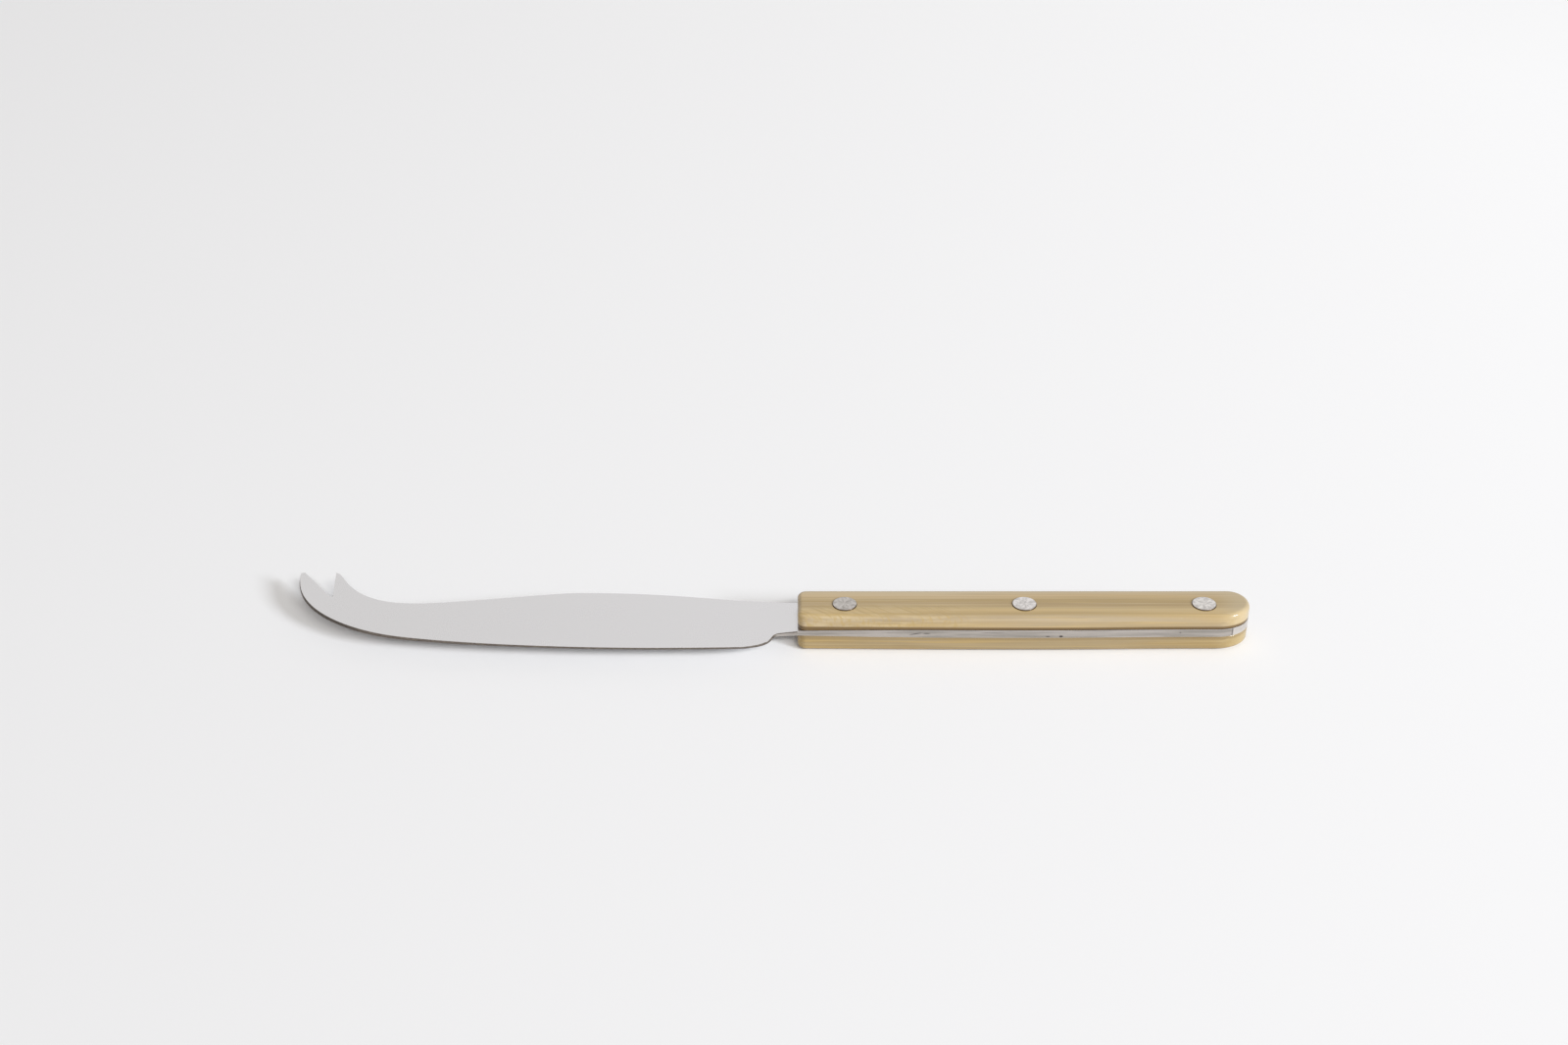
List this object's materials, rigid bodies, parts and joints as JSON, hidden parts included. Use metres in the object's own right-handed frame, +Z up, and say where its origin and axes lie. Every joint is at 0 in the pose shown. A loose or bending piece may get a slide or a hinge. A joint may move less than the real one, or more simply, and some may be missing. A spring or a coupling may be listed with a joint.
{
  "type": "cheese knife",
  "caption": "Forked cheese knife: flat-ground steel blade with an upswept two-pronged tip and a full tang riveted between two rounded handle scales.",
  "frame": {"origin": "middle of the lower face of the middle rivet, on which the knife rests", "axes": "+X along the knife from the fork to the butt, +Y across it towards the back, +Z up through the flat of the blade"},
  "size_m": [0.2405, 0.0338, 0.0109],
  "materials": {
    "blade_steel": "polished faces, satin tang edge",
    "scale_acrylic": "glossy tan with lengthwise streaks",
    "rivet_steel": "satin"
  },
  "bodies": {
    "root": {"blade": "blade_steel", "upper_scale": "scale_acrylic", "lower_scale": "scale_acrylic", "rivet_front": "rivet_steel", "rivet_middle": "rivet_steel", "rivet_rear": "rivet_steel"}
  },
  "joints": []
}
